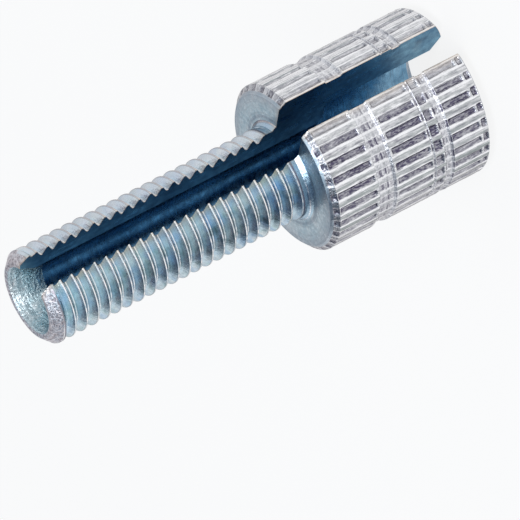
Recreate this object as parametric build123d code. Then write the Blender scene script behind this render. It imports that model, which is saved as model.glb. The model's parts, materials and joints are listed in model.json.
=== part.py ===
from build123d import *
from math import radians, tan
import os

# Slotted cable adjuster screw: one turned, knurled and milled piece of steel.
# It stands on its head, as it rests on a bench: the tip of the shank is up, along +Z, and the
# slot is open towards +X. The origin is the centre of the shoulder, the flat face where the
# shank leaves the head. The shank is drawn at the outside diameter of its 5/16-24 UNF thread.
# All sizes are in millimetres, and depths into the head are counted down from the shoulder.

# --- Driving dimensions -------------------------------------------------------------------
# Shank
THREAD_D = 7.90
SHANK_LENGTH = 23.7
TIP_FACE_D = 6.5             # flat ring left at the tip, inside its 45 degree chamfer
NECK_FLARE = 0.35            # 45 degree flare where the shank meets the shoulder

# Head
HEAD_D = 14.2
HEAD_LENGTH = 15.5
SHOULDER_D = 13.0            # flat face round the shank, inside the front chamfer
FRONT_CHAMFER = 0.55         # its length along the axis
KNURL_LENGTH = 14.7          # from the shoulder to where the domed end starts
END_RING_D = 10.3            # edge between the domed end and the seat's lead-in
DOME_RISE = 0.07             # how far the end bulges over a straight cone

# Grooves turned round the head, each as (start, end) from the shoulder
WIDE_GROOVE = (4.30, 5.72)
LINE_GROOVE = (9.46, 9.56)
NARROW_GROOVE = (10.56, 11.20)
GROOVE_DEPTH = 0.20
LINE_GROOVE_DEPTH = 0.10

# Straight knurl: rows of closed pockets rolled into the bands between the grooves
KNURL_COUNT = 33             # pockets round the head
KNURL_ANGLE = 90.0           # between the flanks of a pocket
KNURL_DEPTH = 0.28
KNURL_END_SLOPE = 35.0       # the pocket's two ends lean out by this
KNURL_ROWS = (               # (start, end) of the pockets in each row, from the shoulder
    (0.62, 4.09),
    (6.10, 9.34),
    (9.76, 10.36),
    (11.43, 13.98),
    (14.18, 14.65),
)

# Holes and slot
BORE_D = 4.2                 # runs through the shank for the inner cable
MOUTH_D = 5.7                # flare of that bore at the tip
MOUTH_DEPTH = 1.5
SEAT_D = 8.0                 # counterbore in the head for the cable's end sleeve
SEAT_DEPTH = 10.85           # from the end of the head to the seat's floor
LEAD_IN = 0.9                # depth of the cone that leads into the seat
SLOT_W = 3.0

CUT = 1.0                    # how far cutting tools reach past the surface they open
ROLL_OVER = 0.1              # the same for the knurl's pockets

# --- Derived ------------------------------------------------------------------------------
THREAD_R = THREAD_D / 2
HEAD_R = HEAD_D / 2


def head_outline():
    """Edge of the head from the shoulder to the dome, as (radius, height) corners."""
    corners = [(SHOULDER_D / 2, 0), (HEAD_R, -FRONT_CHAMFER)]
    grooves = (
        (WIDE_GROOVE, GROOVE_DEPTH),
        (LINE_GROOVE, LINE_GROOVE_DEPTH),
        (NARROW_GROOVE, GROOVE_DEPTH),
    )
    for (start, end), depth in grooves:
        floor_r = HEAD_R - depth
        corners += [(HEAD_R, -start), (floor_r, -start), (floor_r, -end), (HEAD_R, -end - depth)]
    corners.append((HEAD_R, -KNURL_LENGTH))
    return corners


def turned_blank():
    """The outside of the screw as it leaves the lathe, before the knurl, the holes and the slot."""
    tip_chamfer = THREAD_R - TIP_FACE_D / 2
    dome_start = (HEAD_R, -KNURL_LENGTH)
    dome_end = (END_RING_D / 2, -HEAD_LENGTH)
    dome_middle = ((HEAD_R + dome_end[0]) / 2, -(KNURL_LENGTH + HEAD_LENGTH) / 2 - DOME_RISE)
    outline = [
        Polyline(
            dome_end,
            (0, -HEAD_LENGTH),
            (0, SHANK_LENGTH),
            (TIP_FACE_D / 2, SHANK_LENGTH),
            (THREAD_R, SHANK_LENGTH - tip_chamfer),
            (THREAD_R, NECK_FLARE),
            (THREAD_R + NECK_FLARE, 0),
            *head_outline(),
        ),
        ThreePointArc(dome_start, dome_middle, dome_end),
    ]
    return revolve(Plane.XZ * make_face(outline), Axis.Z)


def knurl_pocket(start, end):
    """One closed V of the knurl: two flanks that meet in an edge, and two leaning ends."""
    depth = KNURL_DEPTH + ROLL_OVER
    half_width = depth * tan(radians(KNURL_ANGLE / 2))
    lean = depth * tan(radians(KNURL_END_SLOPE))
    end_over = ROLL_OVER * tan(radians(KNURL_END_SLOPE))
    length = end - start + 2 * end_over
    pocket = Wedge(
        xsize=2 * half_width,
        ysize=depth,
        zsize=length,
        xmin=half_width,
        zmin=lean,
        xmax=half_width,
        zmax=length - lean,
    )
    middle_r = HEAD_R - KNURL_DEPTH + depth / 2
    return Pos(middle_r, 0, -(start + end) / 2) * Rot(0, 0, 90) * pocket


def knurl():
    """Every pocket of every row. A ridge, not a pocket, would lie at the slot's middle."""
    step = 360 / KNURL_COUNT
    pockets = [knurl_pocket(start, end) for start, end in KNURL_ROWS]
    return [Rot(0, 0, (i + 0.5) * step) * p for p in pockets for i in range(KNURL_COUNT)]


def through_hole():
    """Flared bore, seat for the cable's end sleeve and its lead-in, as one solid to cut."""
    seat_floor = SEAT_DEPTH - HEAD_LENGTH
    edge_r = END_RING_D / 2
    corners = Polyline(
        (0, SHANK_LENGTH + CUT),
        (MOUTH_D / 2, SHANK_LENGTH + CUT),
        (MOUTH_D / 2, SHANK_LENGTH),
        (BORE_D / 2, SHANK_LENGTH - MOUTH_DEPTH),
        (BORE_D / 2, seat_floor),
        (SEAT_D / 2, seat_floor),
        (SEAT_D / 2, LEAD_IN - HEAD_LENGTH),
        (edge_r, -HEAD_LENGTH),
        (edge_r, -HEAD_LENGTH - CUT),
        (0, -HEAD_LENGTH - CUT),
        close=True,
    )
    return revolve(Plane.XZ * make_face(corners), Axis.Z)


def slot():
    """Straight slot from the axis out through one side, along the whole length."""
    length = HEAD_LENGTH + SHANK_LENGTH + 2 * CUT
    tool = Box(HEAD_R + CUT, SLOT_W, length, align=(Align.MIN, Align.CENTER, Align.MIN))
    return Pos(0, 0, -HEAD_LENGTH - CUT) * tool


def adjuster_screw():
    screw = turned_blank()
    screw -= knurl()
    screw -= through_hole()
    screw -= slot()
    return screw


def main():
    os.makedirs("parts", exist_ok=True)
    export_step(adjuster_screw(), "parts/adjuster_screw.step")


main()
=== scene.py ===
# %% [markdown]
# # A slotted cable adjuster screw
#
# A barrel adjuster takes up the slack in a brake or clutch cable. This one is a single piece
# of zinc-plated steel: a hollow, threaded shank, a knurled head with a deep seat for the end
# of the cable's casing, and one slot milled along the whole length so that the inner cable can
# be laid in from the side.
#
# It stands on its head, as it rests on a bench. The origin is the centre of the shoulder, the
# flat face where the shank leaves the head; the tip of the shank is up, along +Z, and the slot
# is open towards +X.

# %% Load the packed model
import json
from math import atan2, ceil, pi, radians, sin, tan

import bmesh
import bpy
from mathutils import Matrix, Vector
from mathutils.geometry import tessellate_polygon


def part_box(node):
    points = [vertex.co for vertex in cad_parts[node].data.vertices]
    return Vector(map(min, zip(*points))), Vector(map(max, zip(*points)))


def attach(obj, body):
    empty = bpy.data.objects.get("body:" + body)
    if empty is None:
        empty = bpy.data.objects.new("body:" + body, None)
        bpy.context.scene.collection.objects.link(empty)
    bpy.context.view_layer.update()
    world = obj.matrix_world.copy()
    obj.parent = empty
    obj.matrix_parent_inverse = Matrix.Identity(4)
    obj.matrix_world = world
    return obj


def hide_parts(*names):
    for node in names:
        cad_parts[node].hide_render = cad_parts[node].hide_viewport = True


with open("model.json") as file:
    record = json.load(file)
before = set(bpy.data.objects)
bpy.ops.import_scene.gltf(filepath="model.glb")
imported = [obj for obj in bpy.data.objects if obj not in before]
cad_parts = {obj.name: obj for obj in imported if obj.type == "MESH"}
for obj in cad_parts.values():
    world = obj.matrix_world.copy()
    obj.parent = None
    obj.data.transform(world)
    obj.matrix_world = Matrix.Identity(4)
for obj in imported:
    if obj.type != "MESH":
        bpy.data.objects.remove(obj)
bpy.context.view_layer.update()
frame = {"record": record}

# %% [markdown]
# ## Sizes
#
# The packed record holds the screw's interfaces, so the thread, the seat and the bore are read
# from there, and the overall lengths from the CAD box. The rest are the depths at which the
# lathe's tools and the knurling wheels stopped, counted down from the shoulder.

# %% What the record gives
MM = 0.001
mounts = {mount["name"]: mount for mount in frame["record"]["mounts"]}
low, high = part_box("adjuster_screw")


def mount_radius(name):
    return mounts[name]["dims"]["r_mm"] * MM


def mount_ends(name):
    """Lowest and highest height of a round mount's wall."""
    middle = mounts[name]["pos_m"][2]
    half = mounts[name]["dims"]["length_mm"] * MM / 2
    return middle - half, middle + half


print("mounts:", ", ".join(mounts))

# %% Sizes of the shank
THREAD_R = mount_radius("thread")
THREAD_PITCH = 25.4 * MM / 24
THREAD_DEPTH = 0.66 * MM
THREAD_FLANK = radians(30)       # lean of each flank
THREAD_ROOT_R = 0.15 * MM        # rounding at the bottom of the groove
THREAD_EDGE_R = 0.05 * MM        # wear on the edges of the crest
RUN_OUT_LAND = 0.55 * MM         # plain length between the groove's end and the shoulder
RUN_OUT_TURN = 0.6               # share of a turn in which the groove fades out
RUN_OUT_START = radians(241.4)   # where the fading starts, round from the slot's middle
TIP_LAND = 1.35 * MM             # length at the tip over which the groove grows shallow

SHANK_LENGTH = high[2]
NECK_FLARE, TIP_CHAMFER_START = mount_ends("thread")
TIP_FACE_R = THREAD_R - (SHANK_LENGTH - TIP_CHAMFER_START)
TIP_EASE = 0.05 * MM             # corner between the tip's face and its mouth
print("shank:", round(SHANK_LENGTH / MM, 2), "mm long, thread", round(2 * THREAD_R / MM, 2), "mm")

# %% Sizes of the head
HEAD_R = -low[0]
HEAD_LENGTH = -low[2]
RING_JOIN_R = 4.9 * MM           # where the head's sheet starts, out on the flat shoulder
SHOULDER_R = 6.5 * MM
FRONT_CHAMFER = 0.55 * MM
KNURL_LENGTH = 14.7 * MM
END_RING_R = 5.15 * MM
DOME_RISE = 0.07 * MM
CORNER_R = 0.06 * MM             # ease on the head's corners

BORE_R = mount_radius("cable_bore")
MOUTH_R = 2.85 * MM
MOUTH_FADE = 1.2 * MM            # how far the mouth's bright finish reaches into the bore
SEAT_FLOOR, MOUTH_START = mount_ends("cable_bore")
SEAT_R = mount_radius("cable_seat")
LEAD_IN_START = mount_ends("cable_seat")[0]
HALF_SLOT = 1.5 * MM
SLOT_EDGE = 0.03 * MM            # edge left where the milling cutter came through

# where each groove's floor starts and ends, and how deep it is
WIDE_GROOVE = (4.30 * MM, 5.72 * MM)
LINE_GROOVE = (9.46 * MM, 9.56 * MM)
NARROW_GROOVE = (10.56 * MM, 11.20 * MM)
GROOVE_DEPTH = 0.20 * MM
LINE_GROOVE_DEPTH = 0.10 * MM
print("head:", round(HEAD_LENGTH / MM, 2), "mm long,", round(2 * HEAD_R / MM, 2), "mm across")

# %% Sizes of the knurl
KNURL_COUNT = 33
KNURL_REACH = 0.34 * MM          # half the width of a mark
KNURL_DEPTH = 0.18 * MM
KNURL_LIP = 0.03 * MM            # soft lip round a mark
KNURL_STEP = 0.4 * MM            # longest stretch between two points along a mark's floor
KNURL_END_LEAN = tan(radians(35))

# where each row of marks starts and ends, how deep they are, and half their width
KNURL_ROWS = [
    (0.20 * MM, 0.52 * MM, 0.12 * MM, KNURL_REACH),
    (0.62 * MM, 4.09 * MM, KNURL_DEPTH, KNURL_REACH),
    (4.45 * MM, 5.60 * MM, 0.03 * MM, KNURL_REACH),
    (6.10 * MM, 9.34 * MM, KNURL_DEPTH, KNURL_REACH),
    (9.70 * MM, 10.42 * MM, 0.22 * MM, 0.50 * MM),
    (10.72 * MM, 11.04 * MM, 0.08 * MM, KNURL_REACH),
    (11.43 * MM, 13.98 * MM, KNURL_DEPTH, KNURL_REACH),
    (14.18 * MM, 14.65 * MM, 0.20 * MM, 0.40 * MM),
]
NO_LENGTH = 0.002 * MM           # anything shorter counts as nothing
CLOSE_BY = 0.01 * MM             # two surfaces nearer than this count as one
print("knurl:", KNURL_COUNT, "marks round the head in", len(KNURL_ROWS), "rows, grooves included")

# %% [markdown]
# ## The half section
#
# Everything round about the screw follows from its half section: a line of points, each a
# radius and a height. It could be drawn as a curve and spun, but the thread climbs as it goes
# round and the slot is as wide at the bore as at the rim, and a plain spin does neither. So the
# section is only listed here, with what the tree has to know about each point, and a Geometry
# Nodes tree lays it round the axis.
#
# Corners on turned parts are never quite sharp, so each is eased by a small arc first.

# %% Eased corners
def eased(points, radii, steps=3):
    """The line with its inner corners replaced by small arcs, given a radius for each."""
    line = [points[0]]
    for before, corner, after, radius in zip(points, points[1:], points[2:], radii):
        corner = Vector(corner)
        to_before = Vector(before) - corner
        to_after = Vector(after) - corner
        turn = pi - to_before.normalized().angle(to_after.normalized())
        reach = min(radius * tan(turn / 2), 0.45 * to_before.length, 0.45 * to_after.length)
        if reach < NO_LENGTH:
            line.append(tuple(corner))
            continue
        inward = (to_before.normalized() + to_after.normalized()).normalized()
        centre = corner + inward * reach / sin(turn / 2)
        start = corner + reach * to_before.normalized() - centre
        end = corner + reach * to_after.normalized() - centre
        swing = -start.normalized().angle_signed(end.normalized())
        for step in range(steps + 1):
            spoke = Matrix.Rotation(swing * step / steps, 2) @ start
            line.append(tuple(centre + spoke))
    return line + [points[-1]]


square = eased([(0, 0), (MM, 0), (MM, MM)], [CORNER_R])
print("an eased corner has", len(square) - 2, "points")

# %% [markdown]
# ## The head's section
#
# The head is turned first, with a chamfer, three grooves and a domed end, and two knurling
# wheels are then pressed into it. They leave rows of closed marks, whose ends lean out. Such
# marks could be cut with a boolean for each, but over two hundred cuts leave ragged triangles,
# so the section takes a point wherever a row of marks opens, deepens or closes, and carries
# how deep and how wide a mark may be there. The tree presses the marks in afterwards.

# %% The head's section
def knurl_mark(depth):
    """How deep the marks may be at this depth into the head, and half their width."""
    for start, end, deep, reach in KNURL_ROWS:
        if start <= depth <= end:
            return min(min(depth - start, end - depth) / KNURL_END_LEAN, deep), reach
    return 0, 0


def knurl_stations(start, end, deep):
    """Depths along one row of marks, close together where they open and close."""
    lean = deep * KNURL_END_LEAN
    floor = end - start - 2 * lean
    count = max(1, round(floor / KNURL_STEP))
    long_ends = lean > 3 * KNURL_LIP
    opening = [start - KNURL_LIP, start + KNURL_LIP] + [start + lean / 2] * long_ends
    along = [start + lean + floor * i / count for i in range(count + 1)]
    closing = [end - lean / 2] * long_ends + [end - KNURL_LIP, end + KNURL_LIP]
    return opening + along + closing


def with_marks(points):
    """The outline with a point added at each station of the knurl that falls on its runs."""
    places = [place for row in KNURL_ROWS for place in knurl_stations(*row[:3])]
    stations = sorted({round(place, 8) for place in places})
    line = points[:1]
    for (radius, height), (next_radius, next_height) in zip(points, points[1:]):
        for depth in stations:
            if -height + CLOSE_BY < depth < -next_height - CLOSE_BY:
                share = (depth + height) / (height - next_height)
                line.append((radius + share * (next_radius - radius), -depth))
        line.append((next_radius, next_height))
    return line


def groove(start, end, depth):
    """A turned groove: a square near side, a flat floor and a far side that ramps out."""
    floor = HEAD_R - depth
    return [(HEAD_R, -start), (floor, -start), (floor, -end), (HEAD_R, -end - depth)]


def dome(steps=8):
    """Slightly bulging end of the head, between the knurl and the ring that it stands on."""
    line = []
    for step in range(1, steps):
        share = step / steps
        radius = HEAD_R + share * (END_RING_R - HEAD_R)
        height = -KNURL_LENGTH - share * (HEAD_LENGTH - KNURL_LENGTH)
        line.append((radius, height - DOME_RISE * 4 * share * (1 - share)))
    return line


def head_section():
    """(radius, height) from the flat shoulder, down the outside and up inside the seat."""
    outside = [(RING_JOIN_R, 0), (SHOULDER_R, 0), (HEAD_R, -FRONT_CHAMFER)]
    outside += groove(*WIDE_GROOVE, GROOVE_DEPTH)
    outside += groove(*LINE_GROOVE, LINE_GROOVE_DEPTH)
    outside += groove(*NARROW_GROOVE, GROOVE_DEPTH)
    outside += [(HEAD_R, -KNURL_LENGTH)] + dome() + [(END_RING_R, -HEAD_LENGTH)]
    inside = [(SEAT_R, LEAD_IN_START), (SEAT_R, SEAT_FLOOR)]
    return with_marks(eased(outside + inside[:1], [CORNER_R] * len(outside))) + inside[1:]


head_line = head_section()
head_marks = [knurl_mark(-height) for _, height in head_line]
outside_end = head_line.index(max(head_line, key=lambda point: -point[1]))
head_marks = head_marks[:outside_end] + [(0, 0)] * (len(head_line) - outside_end)
print("head section:", len(head_line), "points")

# %% [markdown]
# ## The thread's section
#
# The thread is 5/16 inch, 24 turns to the inch, and right handed. One turn of it is a V with
# 60 degrees between its flanks, a round root and a narrow flat crest, and the section simply
# repeats it once every pitch. Each of its points also carries its depth below the crest and
# its place across the groove, which the tree needs where the groove fades out.

# %% The shank's section
def thread_turn():
    """(offset from the groove's middle, depth below the crest) along one pitch."""
    sharp = THREAD_DEPTH + THREAD_ROOT_R
    edge = sharp * tan(THREAD_FLANK)
    points = [
        (-THREAD_PITCH / 2, 0),
        (-edge, 0),
        (-0.75 * edge, 0.25 * sharp),
        (0, sharp),
        (0.75 * edge, 0.25 * sharp),
        (edge, 0),
        (THREAD_PITCH / 2, 0),
    ]
    return eased(points, [THREAD_EDGE_R, 0, THREAD_ROOT_R, 0, THREAD_EDGE_R])[:-1]


def shank_section():
    """Rows of (radius, height, depth, offset, lead) from the shoulder over the tip to the seat."""
    rows = [(THREAD_R + NECK_FLARE, 0, 0, 0, 0), (THREAD_R, NECK_FLARE, 0, 0, 0)]
    first = RUN_OUT_LAND + RUN_OUT_TURN * THREAD_PITCH
    turns = ceil((SHANK_LENGTH - first) / THREAD_PITCH) + 1
    for turn in range(-1, turns):
        for offset, depth in thread_turn():
            height = first + turn * THREAD_PITCH + offset
            rows.append((THREAD_R, height, depth, offset, THREAD_PITCH))
    tip = [
        (TIP_FACE_R, SHANK_LENGTH),
        (TIP_FACE_R - TIP_EASE, SHANK_LENGTH),
        (MOUTH_R + TIP_EASE, SHANK_LENGTH),
        (MOUTH_R, SHANK_LENGTH - TIP_EASE / 2),
        (BORE_R, MOUTH_START),
        (BORE_R, MOUTH_START - MOUTH_FADE),
        (BORE_R, SEAT_FLOOR),
    ]
    return rows + [(radius, height, 0, 0, 0) for radius, height in tip]


shank_rows = shank_section()
deepest = max(depth for _, _, depth, _, _ in shank_rows)
print("shank section:", len(shank_rows), "points, thread", round(deepest / MM, 3), "mm deep")

# %% [markdown]
# ## Arithmetic in a node tree
#
# A formula of a dozen Math nodes is hard to read when each node is placed by hand. This small
# class lets the script write it as a formula: every operation on a Term adds one Math node to
# the tree and returns the new node's output. It serves geometry and shader trees alike.

# %% A term of a formula
class Term:
    """A number that varies over a mesh or a surface: the output of a node."""

    def __init__(self, tree, socket):
        self.tree = tree
        self.socket = socket

    def put(self, operation, *values):
        node = self.tree.nodes.new("ShaderNodeMath")
        node.operation = operation
        for slot, value in zip(node.inputs, values):
            link_or_set(self.tree, value, slot)
        return Term(self.tree, node.outputs[0])

    def __add__(self, other):
        return self.put("ADD", self, other)

    def __sub__(self, other):
        return self.put("SUBTRACT", self, other)

    def __rsub__(self, other):
        return self.put("SUBTRACT", other, self)

    def __mul__(self, other):
        return self.put("MULTIPLY", self, other)

    def __truediv__(self, other):
        return self.put("DIVIDE", self, other)

    __radd__ = __add__

    def at_least(self, other):
        return self.put("MAXIMUM", self, other)

    def at_most(self, other):
        return self.put("MINIMUM", self, other)

    def clamped(self):
        return self.at_least(0.0).at_most(1.0)

    def of(self, function):
        return self.put(function, self)


def link_or_set(tree, value, slot):
    """Feeds a socket with a term, another node's output or a plain value."""
    if isinstance(value, Term):
        value = value.socket
    if isinstance(value, bpy.types.NodeSocket):
        tree.links.new(value, slot)
    else:
        slot.default_value = value


def add(tree, kind, settings=None, **inputs):
    """A new node, its settings given in a dict and its inputs by name."""
    node = tree.nodes.new(kind)
    for name, value in (settings or {}).items():
        setattr(node, name, value)
    for name, value in inputs.items():
        link_or_set(tree, value, node.inputs[name.replace("_", " ")])
    return node


print("a term's methods:", ", ".join(name for name in vars(Term) if not name.startswith("_")))


# %% [markdown]
# ## Laying the section round the axis
#
# One tree makes both sheets of the screw, the shank's and the head's. It starts from a flat
# grid with one row for each point of the section and one column for each step round the axis,
# looks up the row's radius and height and the column's angle, and sends every grid point to
# its place. Three rules bend it away from a plain spin:
#
# - Rows of the thread climb by one pitch a turn, so the crests stay crisp however few rows
#   there are, and the groove grows shallow where the thread runs out.
# - The sheet stops at two flat planes, half a slot's width either side of the middle, so the
#   angle at which it starts depends on the radius.
# - Pockets are pressed into the head's rim at even angles, with a little chance in how deep
#   each one is, since the wheels of a knurling tool never press quite evenly.

# %% Helpers for the tree
LATE_GAIN = 1.2                  # how fast the groove grows shallow towards the tip
CELLS_PER_M = 500                # every mark gets a new chance each 2 mm along the axis
CELL_STEP = 64                   # more than there are marks round the head, so none share one


def new_tree():
    tree = bpy.data.node_groups.new("slotted turning", "GeometryNodeTree")
    sockets = (
        ("Section", "NodeSocketGeometry", "INPUT"),
        ("Columns", "NodeSocketObject", "INPUT"),
        ("Even columns", "NodeSocketFloat", "INPUT"),
        ("Half slot", "NodeSocketFloat", "INPUT"),
        ("Thread depth", "NodeSocketFloat", "INPUT"),
        ("Run-out land", "NodeSocketFloat", "INPUT"),
        ("Run-out length", "NodeSocketFloat", "INPUT"),
        ("Run-out angle", "NodeSocketFloat", "INPUT"),
        ("Neck height", "NodeSocketFloat", "INPUT"),
        ("Tip height", "NodeSocketFloat", "INPUT"),
        ("Tip radius", "NodeSocketFloat", "INPUT"),
        ("Tip land", "NodeSocketFloat", "INPUT"),
        ("Mark count", "NodeSocketFloat", "INPUT"),
        ("Mark chance", "NodeSocketFloat", "INPUT"),
        ("Seed", "NodeSocketInt", "INPUT"),
        ("Finish", "NodeSocketMaterial", "INPUT"),
        ("Sheet", "NodeSocketGeometry", "OUTPUT"),
    )
    for name, kind, way in sockets:
        tree.interface.new_socket(name, in_out=way, socket_type=kind)
    return tree


def sampled(tree, geometry, field, index, kind="FLOAT"):
    """What a field is at one point of another geometry."""
    node = tree.nodes.new("GeometryNodeSampleIndex")
    node.data_type = kind
    tree.links.new(geometry, node.inputs["Geometry"])
    link_or_set(tree, field, node.inputs["Value"])
    link_or_set(tree, index, node.inputs["Index"])
    return node.outputs["Value"]


def named(tree, name):
    node = add(tree, "GeometryNodeInputNamedAttribute", {"data_type": "FLOAT"}, Name=name)
    return node.outputs["Attribute"]


# %% The tree
def slotted_turning():
    tree = new_tree()
    given = tree.nodes.new("NodeGroupInput").outputs
    number = {socket.name: Term(tree, socket) for socket in given if socket.type == "VALUE"}

    # the grid, and each point's row and column in it
    columns = add(tree, "GeometryNodeObjectInfo", Object=given["Columns"]).outputs["Geometry"]
    size = {}
    for name, geometry in (("rows", given["Section"]), ("columns", columns)):
        counter = add(tree, "GeometryNodeAttributeDomainSize", Geometry=geometry)
        size[name] = Term(tree, counter.outputs["Point Count"])
    grid = tree.nodes.new("GeometryNodeMeshGrid")
    link_or_set(tree, size["rows"], grid.inputs["Vertices X"])
    link_or_set(tree, size["columns"], grid.inputs["Vertices Y"])
    index = Term(tree, tree.nodes.new("GeometryNodeInputIndex").outputs[0])
    row = ((index + 0.5) / size["columns"]).of("FLOOR")
    column = index - row * size["columns"]

    # what the section says about the row, and the columns about the angle
    position = tree.nodes.new("GeometryNodeInputPosition").outputs[0]
    section_point = sampled(tree, given["Section"], position, row, "FLOAT_VECTOR")
    apart = add(tree, "ShaderNodeSeparateXYZ", Vector=section_point)
    section_radius = Term(tree, apart.outputs["X"])
    section_height = Term(tree, apart.outputs["Z"])
    depth, offset, lead, room, reach = (
        Term(tree, sampled(tree, given["Section"], named(tree, name), row))
        for name in ("depth", "offset", "lead", "room", "reach")
    )
    column_point = sampled(tree, columns, position, column, "FLOAT_VECTOR")
    column_angle = Term(tree, add(tree, "ShaderNodeSeparateXYZ", Vector=column_point).outputs["X"])
    threaded = (lead * 1e6).at_most(1.0)  # 1 on the thread's rows and 0 on all others

    def angle_at(radius):
        """The column's angle on a sheet of this radius, kept clear of the slot."""
        edge = (number["Half slot"] / radius).of("ARCSINE")
        even = edge + column_angle * (1 - edge / pi)
        kept = column_angle.at_least(edge).at_most(2 * pi - edge)
        return kept + (even - kept) * number["Even columns"]

    def place_at(angle):
        """(radius, height) of the row at this angle."""
        climb = lead * (angle - number["Run-out angle"]) / (2 * pi)
        height = section_height + climb
        inside = height.at_least(number["Neck height"]).at_most(number["Tip height"])
        height = height + (inside - height) * threaded
        left = (height - offset - number["Run-out land"]) / number["Run-out length"]
        shallow = number["Thread depth"] * (1 - left.clamped())
        late = (height - number["Tip height"] + number["Tip land"]).at_least(0.0) * LATE_GAIN
        radius = section_radius - (depth - shallow - late).at_least(0.0)
        cone = number["Tip radius"] + number["Tip height"] - height
        radius = radius + (radius.at_most(cone) - radius) * threaded
        turns = angle * number["Mark count"] / (2 * pi)
        across = (turns.of("FRACT") - 0.5).of("ABSOLUTE") * (2 * pi) / number["Mark count"]
        chance = add(tree, "FunctionNodeRandomValue", {"data_type": "FLOAT"}, Seed=given["Seed"])
        cell = (height * CELLS_PER_M).of("FLOOR") * CELL_STEP
        link_or_set(tree, turns.of("FLOOR") + cell, chance.inputs["ID"])
        uneven = 1 - Term(tree, chance.outputs[1]) * number["Mark chance"]
        mark = reach * uneven - across * section_radius
        return radius - mark.at_most(room * uneven).at_least(0.0), height

    # the slot's edge depends on the radius, and the radius on the angle: two rounds settle it
    angle = angle_at(section_radius - depth)
    for _ in range(2):
        radius, height = place_at(angle)
        angle = angle_at(radius)

    placed = add(tree, "ShaderNodeCombineXYZ", X=radius * angle.of("COSINE"),
                 Y=radius * angle.of("SINE"), Z=height)
    moved = add(tree, "GeometryNodeSetPosition", Geometry=grid.outputs["Mesh"],
                Position=placed.outputs[0])
    real = add(tree, "GeometryNodeRealizeInstances", Geometry=moved.outputs[0])
    finished = add(tree, "GeometryNodeSetMaterial", Geometry=real.outputs[0],
                   Material=given["Finish"])
    output = tree.nodes.new("NodeGroupOutput")
    tree.links.new(finished.outputs[0], output.inputs["Sheet"])
    return tree


turning = slotted_turning()
print("slotted turning:", len(turning.nodes), "nodes")

# %% [markdown]
# ## Both sheets
#
# The shank's columns are evenly spread between the two sides of the slot. The head's stand at
# fixed angles, thirteen to a mark and the ridge beside it, so that the edges and the floor of
# every mark fall on columns. A modifier takes the tree's inputs by their identifiers, and the
# finished sheet is kept as a plain mesh.

# %% Point lists for the tree
def point_object(name, points, **attributes):
    """A mesh of loose points, with one number for each point under every given name."""
    mesh = bpy.data.meshes.new(name)
    mesh.from_pydata(points, [], [])
    for key, values in attributes.items():
        mesh.attributes.new(key, "FLOAT", "POINT").data.foreach_set("value", values)
    return bpy.data.objects.new(name, mesh)


def even_columns(count):
    return [2 * pi * i / count for i in range(count + 1)]


def knurl_columns():
    """Angles that follow the marks: their floors, edges and lips, and the ridges between."""
    edge = KNURL_REACH / HEAD_R
    floor = (KNURL_REACH - KNURL_DEPTH) / HEAD_R
    lip = KNURL_LIP / HEAD_R
    step = 2 * pi / KNURL_COUNT
    side = [0.8 * floor, floor + lip, edge - lip, edge + lip, 1.3 * edge, 0.42 * step]
    across = [-place for place in reversed(side)] + [0] + side
    angles = [(i + 0.5) * step + place for i in range(KNURL_COUNT) for place in across]
    return [0] + angles + [2 * pi]


print("columns round the head:", len(knurl_columns()))


# %% A sheet as a plain mesh
SEED = 7


def sheet(name, section, columns, **values):
    """Runs the tree on one section and returns the sheet as a plain mesh."""
    points, notes = section
    carrier = point_object(name, points, **notes)
    steps = point_object(name + " columns", [(angle, 0, 0) for angle in columns])
    for piece in (carrier, steps):
        bpy.context.scene.collection.objects.link(piece)
    modifier = carrier.modifiers.new("slotted turning", "NODES")
    modifier.node_group = turning
    values = {"Columns": steps, "Seed": SEED, **values}
    for item in turning.interface.items_tree:
        if item.in_out == "INPUT" and item.name in values:
            modifier[item.identifier] = values[item.name]
    ready = carrier.evaluated_get(bpy.context.evaluated_depsgraph_get())
    mesh = bpy.data.meshes.new_from_object(ready)
    for piece in (carrier, steps):
        spare = piece.data
        bpy.data.objects.remove(piece)
        bpy.data.meshes.remove(spare)
    return mesh


# %% Run the tree twice
SLOT_PLANE = HALF_SLOT + SLOT_EDGE
SHANK_COLUMNS = 96
KNURL_CHANCE = 0.12              # the shallowest mark is this much shallower than the deepest

shank_points = [(radius, 0, height) for radius, height, *_ in shank_rows]
shank_notes = dict(zip(("depth", "offset", "lead"), list(zip(*shank_rows))[2:]))
shank_notes.update({name: [0] * len(shank_rows) for name in ("room", "reach")})
head_points = [(radius, 0, height) for radius, height in head_line]
head_notes = {name: [0] * len(head_line) for name in ("depth", "offset", "lead")}
head_notes["room"], head_notes["reach"] = zip(*head_marks)

plating = bpy.data.materials.new("zinc plate, turned")
common = {"Half slot": SLOT_PLANE, "Finish": plating}
shank_sheet = sheet(
    "shank", (shank_points, shank_notes), even_columns(SHANK_COLUMNS),
    **common,
    **{
        "Even columns": 1.0,
        "Thread depth": THREAD_DEPTH,
        "Run-out land": RUN_OUT_LAND,
        "Run-out length": RUN_OUT_TURN * THREAD_PITCH,
        "Run-out angle": RUN_OUT_START,
        "Neck height": NECK_FLARE,
        "Tip height": SHANK_LENGTH,
        "Tip radius": TIP_FACE_R,
        "Tip land": TIP_LAND,
        "Mark count": 1.0,
    },
)
head_sheet = sheet(
    "head", (head_points, head_notes), knurl_columns(),
    **common,
    **{
        "Mark count": float(KNURL_COUNT),
        "Mark chance": KNURL_CHANCE,
        "Thread depth": 1.0,     # the head has no thread, and 1 changes nothing
        "Run-out length": 1.0,
    },
)
for name, mesh in (("shank", shank_sheet), ("head", head_sheet)):
    print(name, "sheet:", len(mesh.vertices), "points,", len(mesh.polygons), "faces")

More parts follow.
